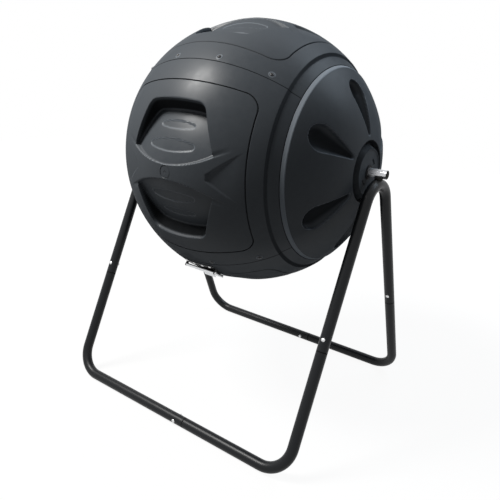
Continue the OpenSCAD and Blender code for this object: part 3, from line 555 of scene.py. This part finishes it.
def end_cap(name, cad, side):
    h = GRID
    rim = RIM_LAT + 2 * SEAM_TURN
    lip_r, lip_x = 87.0, float(on_ball(87.0))
    moat_x = HUB_X - 22
    front = rounded([(BUSH_R, HUB_X), (61.5, HUB_X, 0.8), (62.6, HUB_X + 1.8, 0.8),
                     (65.6, HUB_X + 1.8, 1.2), (79, moat_x, 3), (83.2, moat_x, 1.6),
                     (lip_r - 0.3, lip_x - 1.4)], 2.0)
    front += [np.array([lip_r + 0.2, lip_x - 0.5])]
    lat_lip = math.degrees(math.acos((lip_r + 1) / R))
    edge_lat = RIM_LAT + STEP_RUN
    ball = arc_path(R, lat_lip, edge_lat + 0.35, h)

    def polar(r, lat):
        return r * math.cos(math.radians(lat)), r * math.sin(math.radians(lat))

    bevel = rounded([polar(R, edge_lat + 0.3), (*polar(R, edge_lat), 0.9),
                     (*polar(R - BAND, rim), 0.6), polar(R - BAND - 1.5, rim)], 1.2)
    low = LAP_R - BAND
    tuck = arc_path(low, rim, 38.7, 6) + arc_path(low + 2.5, 38.7, 38.1, 6)
    tuck += arc_path(low - WALL, 38.1, rim + 1, 6)
    inner = arc_path(R - WALL, rim + STEP_RUN + 0.4, math.degrees(math.acos(91 / (R - WALL))), h)
    back = rounded([(91, lip_x - 6), (86.5, moat_x - WALL, 2), (77, moat_x - WALL, 2),
                    (60, HUB_X - WALL, 2), (22.5, HUB_X - WALL), (22.5, HUB_X - HUB_LEN),
                    (BUSH_R, HUB_X - HUB_LEN)], 5.0)
    path = np.array(front + ball + bevel + tuck + inner + back)
    n_front, n_ball = len(front), len(ball)
    n_in0 = n_front + n_ball + len(bevel) + len(tuck)
    turns = 720
    a = np.arange(turns) * 2 * math.pi / turns
    r, a = np.meshgrid(path[:, 0], a, indexing="ij")
    x = np.repeat(path[:, 1][:, None], turns, 1)
    zone = slice(n_front, n_front + n_ball)
    x[zone] = tear_drop(r[zone], a[zone], x[zone])
    zone = slice(n_in0, n_in0 + len(inner))
    x[zone] = tear_drop(r[zone], a[zone], x[zone] + WALL * 1.15, WALL) - WALL * 1.15
    zone = slice(0, n_front)
    for turn in SLOT_TURNS:
        off = (np.degrees(a[zone]) - turn + 180) % 360 - 180
        along = np.radians(np.maximum(np.abs(off) - SLOT_RUN, 0)) * SLOT_R
        slot = np.hypot(along, r[zone] - SLOT_R) - SLOT_HALF
        x[zone] -= np.where(r[zone] < 60, SLOT_DEEP * ramp(-slot, -0.3, 0.5), 0)
    # painted shade in the scoops, in the moat round the hub and on the inside; painted highlights on the scoops'
    # edges and along the bevel
    edge, half = tear_distance(r, a)
    deep = np.clip(-edge / half, 0, 1)
    painted_light = 0.5 * (1 - ramp(np.abs(edge - 0.6), 0.8, 1.8)) - 0.75 * ramp(deep, 0.06, 0.5)
    painted_light[:n_front] = -0.5 * ramp(r[:n_front], 63.5, 66)
    n_tuck = n_in0 - len(tuck)
    # painted highlight along the bevel
    painted_light[n_front + n_ball:n_tuck] = 1
    # painted shade on the tuck and the inside
    painted_light[n_tuck:] = -0.5
    up, outward = r * np.sin(a), r * np.cos(a)
    p = to_world(np.stack([side * x, outward, up], -1), 0)
    rows = len(path)
    i = np.arange(rows * turns).reshape(rows, turns)
    nxt = np.roll(i, -1, 1)
    down, down_nxt = np.roll(i, -1, 0), np.roll(nxt, -1, 0)
    q = np.stack([i, down, down_nxt, nxt], -1).reshape(-1, 4)
    if side > 0:
        q = q[:, ::-1]
    obj = make_mesh(name, p.reshape(-1, 3), [q], painted_light.ravel())
    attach(obj, "drum")
    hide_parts(cad)
    return obj


# ---------------------------------------------------------------- materials
def material(name):
    m = bpy.data.materials.new(name)
    m.use_nodes = True
    t = m.node_tree
    return m, t, t.nodes["Principled BSDF"]


def node(t, kind, **values):
    n = t.nodes.new(kind)
    for key, value in values.items():
        if key in n.inputs:
            n.inputs[key].default_value = value
        else:
            setattr(n, key, value)
    return n


def noise(t, coords, scale, detail=3.0, rough=0.5):
    n = node(t, "ShaderNodeTexNoise", Scale=scale, Detail=detail, Roughness=rough)
    t.links.new(coords.outputs["Object"], n.inputs["Vector"])
    return n


def mapped(t, source, lo, hi, a=0.3, b=0.7):
    n = node(t, "ShaderNodeMapRange")
    n.inputs["From Min"].default_value = a
    n.inputs["From Max"].default_value = b
    n.inputs["To Min"].default_value = lo
    n.inputs["To Max"].default_value = hi
    t.links.new(source, n.inputs["Value"])
    return n.outputs["Result"]


def plug(t, socket, value):
    """Links an output to the socket, or sets the socket to a number or colour."""
    if isinstance(value, bpy.types.NodeSocket):
        t.links.new(value, socket)
    else:
        socket.default_value = value


def calc(t, operation, *values):
    """A Math node on outputs and numbers."""
    n = node(t, "ShaderNodeMath", operation=operation)
    for socket, value in zip(n.inputs, values):
        plug(t, socket, value)
    return n.outputs[0]


def tinted(t, factor, a, b):
    """From colour a to colour b; either may be an output."""
    n = node(t, "ShaderNodeMix", data_type="RGBA")
    plug(t, n.inputs[0], factor)
    for socket, colour in ((n.inputs[6], a), (n.inputs[7], b)):
        plug(t, socket, (*colour, 1) if isinstance(colour, tuple) else colour)
    return n.outputs[2]


def bump(t, height, distance, normal=None):
    n = node(t, "ShaderNodeBump", Strength=1.0, Distance=distance)
    t.links.new(height, n.inputs["Height"])
    if normal is not None:
        t.links.new(normal, n.inputs["Normal"])
    return n.outputs["Normal"]


# specular levels, and the heights of the plastic's grain and unevenness in metres
PLASTIC_LEVEL, PAINT_LEVEL, GRAIN, WAVE = 0.12, 0.22, 0.00005, 0.0009


def moulded(name, dark, light, rough_lo, rough_hi):
    """Moulded plastic: fine grain, faint unevenness of the wall and mottled sheen.

    The grain dulls the gloss where the surface is seen at a flat angle. The mesh's painted light makes
    it darker and duller where shade is painted, and lighter where highlights are painted.
    """
    m, t, p = material(name)
    co = node(t, "ShaderNodeTexCoord")
    broad = noise(t, co, 9.0, 2.0)
    fine = noise(t, co, 420.0, 2.0, 0.6)
    mid = noise(t, co, 55.0, 4.0, 0.6)
    painted_light = node(t, "ShaderNodeAttribute", attribute_name="painted_light")
    colour = tinted(t, mid.outputs["Fac"], dark, light)
    # painted shade darkens the colour towards 0.12 of the dark one, painted highlights lighten it towards 3.2
    # times the light one
    for to, end in ((-1, tuple(0.12 * c for c in dark)), (1, tuple(3.2 * c for c in light))):
        colour = tinted(t, mapped(t, painted_light.outputs["Fac"], 0, 1, 0, to), colour, end)
    t.links.new(colour, p.inputs["Base Color"])
    flat = node(t, "ShaderNodeLayerWeight", Blend=0.5)
    rough = mapped(t, mid.outputs["Fac"], rough_lo, rough_hi)
    # rougher at a flat angle, and where shade is painted
    for source, add, a, b in ((flat.outputs["Facing"], 0.45, 0.3, 0.75),
                              (painted_light.outputs["Fac"], 0.6, 0, -1)):
        rough = calc(t, "ADD", rough, mapped(t, source, 0, add, a, b))
    t.links.new(rough, p.inputs["Roughness"])
    n = bump(t, broad.outputs["Fac"], WAVE)
    n = bump(t, fine.outputs["Fac"], GRAIN, normal=n)
    t.links.new(n, p.inputs["Normal"])
    p.inputs["Specular IOR Level"].default_value = PLASTIC_LEVEL
    return m


def joint_lines(t, co):
    """1 at the narrow gaps where the tubes of a leg or of a base bar meet."""
    run = Vector((-HALF_BASE, APEX_H)).normalized()
    leg = math.hypot(HALF_BASE, APEX_H) * LEG_SHARE
    xyz = node(t, "ShaderNodeSeparateXYZ")
    t.links.new(co.outputs["Object"], xyz.inputs[0])
    # distance up the leg from the middle of its base bar, the same for front and rear
    up_leg = calc(t, "MULTIPLY_ADD", calc(t, "ABSOLUTE", xyz.outputs["Y"]), run.x,
                  -run.x * HALF_BASE * 0.001 - run.y * TUBE_R * 0.001)
    up_leg = calc(t, "MULTIPLY_ADD", xyz.outputs["Z"], run.y, up_leg)
    return calc(t, "MAXIMUM",
                *(calc(t, "COMPARE", source, at * 0.001, JOINT_LINE * 0.001)
                  for source, at in ((xyz.outputs["X"], BAR_JOINT), (up_leg, leg))))


def coated(name, dark, light, rough_lo, rough_hi):
    """Powder-coated tube: smooth satin skin, slightly patchy, dark at its joints."""
    m, t, p = material(name)
    co = node(t, "ShaderNodeTexCoord")
    patch = noise(t, co, 14.0, 4.0, 0.6)
    gap = joint_lines(t, co)
    colour = tinted(t, patch.outputs["Fac"], dark, light)
    t.links.new(tinted(t, gap, colour, (0.001, 0.001, 0.001)), p.inputs["Base Color"])
    rough = mapped(t, patch.outputs["Fac"], rough_lo, rough_hi)
    t.links.new(calc(t, "MAXIMUM", rough, gap), p.inputs["Roughness"])
    p.inputs["Specular IOR Level"].default_value = PAINT_LEVEL
    return m


def metal(name, dark, light, rough_lo, rough_hi, stretch=(1, 1, 1)):
    """Bare or zinc-plated steel with drawing marks along one way and slight mottling."""
    m, t, p = material(name)
    co = node(t, "ShaderNodeTexCoord")
    mp = node(t, "ShaderNodeMapping")
    mp.inputs["Scale"].default_value = stretch
    t.links.new(co.outputs["Object"], mp.inputs["Vector"])
    grain = node(t, "ShaderNodeTexNoise", Scale=700.0, Detail=3.0)
    t.links.new(mp.outputs["Vector"], grain.inputs["Vector"])
    patch = noise(t, co, 60.0, 4.0, 0.6)
    t.links.new(tinted(t, patch.outputs["Fac"], dark, light), p.inputs["Base Color"])
    t.links.new(mapped(t, grain.outputs["Fac"], rough_lo, rough_hi), p.inputs["Roughness"])
    t.links.new(bump(t, grain.outputs["Fac"], 0.00003), p.inputs["Normal"])
    p.inputs["Metallic"].default_value = 1.0
    return m


FINISH = {
    "drum_plastic": moulded("drum_plastic", (0.038, 0.044, 0.051), (0.049, 0.055, 0.062),
                            0.33, 0.40),
    "cap_plastic": moulded("cap_plastic", (0.03, 0.03, 0.026), (0.045, 0.045, 0.038), 0.45, 0.55),
    "bush_plastic": moulded("bush_plastic", (0.012, 0.012, 0.013), (0.02, 0.02, 0.021), 0.4, 0.5),
    "tube": coated("tube", (0.005, 0.006, 0.007), (0.008, 0.009, 0.011), 0.36, 0.40),
    "black_steel": coated("black_steel", (0.012, 0.012, 0.013), (0.02, 0.02, 0.022), 0.3, 0.4),
    "axle": metal("axle", (0.62, 0.63, 0.65), (0.74, 0.75, 0.77), 0.24, 0.36, (0.05, 1, 1)),
    "zinc": metal("zinc", (0.58, 0.59, 0.60), (0.72, 0.72, 0.71), 0.28, 0.42),
    "lever_steel": metal("lever_steel", (0.60, 0.61, 0.62), (0.72, 0.73, 0.74), 0.25, 0.38,
                         (0.05, 1, 1)),
}
for part in frame["record"]["subparts"]:
    obj = frame["nodes"][part["node"]]
    obj.data.materials.clear()
    obj.data.materials.append(FINISH[part["material_slot"]])


def finish(obj, slot):
    obj.data.materials.append(FINISH[slot])


# ---------------------------------------------------------------- the drum
for name, cad, turn, body, cut in (
        ("shell_front", "panel_front", 0, "drum", None),
        ("shell_top", "panel_top", 90, "drum", None),
        ("shell_rear", "panel_rear", 180, "drum", None),
        ("shell_doorway", "panel_doorway", 270, "drum", "doorway"),
        ("shell_door", "door", 270, "door", "door")):
    piece = panel(name, turn, body, cut)
    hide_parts(cad)
    finish(piece, "drum_plastic")
for name, cad, side in (("cap_shell_left", "end_cap_left", -1),
                        ("cap_shell_right", "end_cap_right", 1)):
    finish(end_cap(name, cad, side), "drum_plastic")

# ---------------------------------------------------------------- camera, light and floor
AZ, EL, ROLL = (math.radians(v) for v in (35.27, 18.11, 3.36))
TARGET, DISTANCE = Vector((0.0063, 0.0, 0.4656)), 1.780
back = Vector((math.sin(AZ) * math.cos(EL), -math.cos(AZ) * math.cos(EL), math.sin(EL)))
right = Vector((math.cos(AZ), math.sin(AZ), 0))
up = back.cross(right)
right2 = right * math.cos(ROLL) + up * math.sin(ROLL)
up2 = up * math.cos(ROLL) - right * math.sin(ROLL)
cam = bpy.data.cameras.new("camera")
cam.lens, cam.sensor_width = 38.10, 36.0
cam.clip_start = 0.01
cam_obj = bpy.data.objects.new("camera", cam)
rot = Matrix((right2, up2, back)).transposed()
cam_obj.matrix_world = Matrix.Translation(TARGET + back * DISTANCE) @ rot.to_4x4()
bpy.context.scene.collection.objects.link(cam_obj)
bpy.context.scene.camera = cam_obj


def softbox(name, azimuth, elevation, distance, size, power, colour):
    """A softbox seen from the drum at that azimuth (0 to the front, 90 to the right)."""
    light = bpy.data.lights.new(name, "AREA")
    light.shape = "RECTANGLE"
    light.size, light.size_y = size
    light.energy = power
    light.color = colour
    a, e = math.radians(azimuth), math.radians(elevation)
    way = Vector((math.sin(a) * math.cos(e), -math.cos(a) * math.cos(e), math.sin(e)))
    o = bpy.data.objects.new(name, light)
    o.location = Vector((0, 0, AXLE_Z * 0.001)) + way * distance
    o.rotation_euler = (-way).to_track_quat("-Z", "Y").to_euler()
    bpy.context.scene.collection.objects.link(o)


softbox("key", -42, 50, 3.0, (0.9, 0.9), 150, (1.0, 0.985, 0.96))
softbox("sky", 150, 46, 3.2, (2.6, 1.6), 60, (0.72, 0.86, 1.0))


def seen_directly(t):
    """1 for the rays that show the background: camera, glossy and transmission rays."""
    rays = node(t, "ShaderNodeLightPath")
    camera, glossy, through = (rays.outputs["Is %s Ray" % name]
                               for name in ("Camera", "Glossy", "Transmission"))
    return calc(t, "MAXIMUM", calc(t, "MAXIMUM", camera, glossy), through)


world = bpy.data.worlds.new("world")
bpy.context.scene.world = world
world.use_nodes = True
wt = world.node_tree
wt.nodes.clear()
plain = node(wt, "ShaderNodeBackground", Color=(0.80, 0.88, 1.0, 1), Strength=0.05)
white = node(wt, "ShaderNodeBackground", Color=(1, 1, 1, 1), Strength=1.0)
mix = node(wt, "ShaderNodeMixShader")
out = node(wt, "ShaderNodeOutputWorld")
wt.links.new(seen_directly(wt), mix.inputs[0])
wt.links.new(plain.outputs[0], mix.inputs[1])
wt.links.new(white.outputs[0], mix.inputs[2])
wt.links.new(mix.outputs[0], out.inputs[0])

FLOOR_HALF, FLOOR_BELOW, FLOOR_GREY = 6.0, 0.0005, 0.2
# the floor's glow near the object and away from it, between those distances, and its share
GLOW, GLOW_FROM, GLOW_SHARE = (1.25, 1.36), (1.0, 2.6), 0.75
floor_mesh = bpy.data.meshes.new("floor")
corners = [(x * FLOOR_HALF, y * FLOOR_HALF, 0) for x, y in ((-1, -1), (1, -1), (1, 1), (-1, 1))]
floor_mesh.from_pydata(corners, [], [(0, 1, 2, 3)])
floor = bpy.data.objects.new("floor", floor_mesh)
bpy.context.scene.collection.objects.link(floor)
floor.location.z = -FLOOR_BELOW
fm, ft, fp = material("floor")
fp.inputs["Base Color"].default_value = (FLOOR_GREY, FLOOR_GREY, FLOOR_GREY, 1)
fp.inputs["Roughness"].default_value = 0.9
glow = node(ft, "ShaderNodeEmission")
away = node(ft, "ShaderNodeVectorMath", operation="LENGTH")
ft.links.new(node(ft, "ShaderNodeTexCoord").outputs["Object"], away.inputs[0])
ft.links.new(mapped(ft, away.outputs["Value"], *GLOW, *GLOW_FROM), glow.inputs["Strength"])
mx = node(ft, "ShaderNodeMixShader")
plug(ft, mx.inputs[0], calc(ft, "MULTIPLY", seen_directly(ft), GLOW_SHARE))
ft.links.new(fp.outputs[0], mx.inputs[1])
ft.links.new(glow.outputs[0], mx.inputs[2])
ft.links.new(mx.outputs[0], ft.nodes["Material Output"].inputs["Surface"])
floor_mesh.materials.append(fm)

bpy.context.scene.view_settings.view_transform = "Standard"
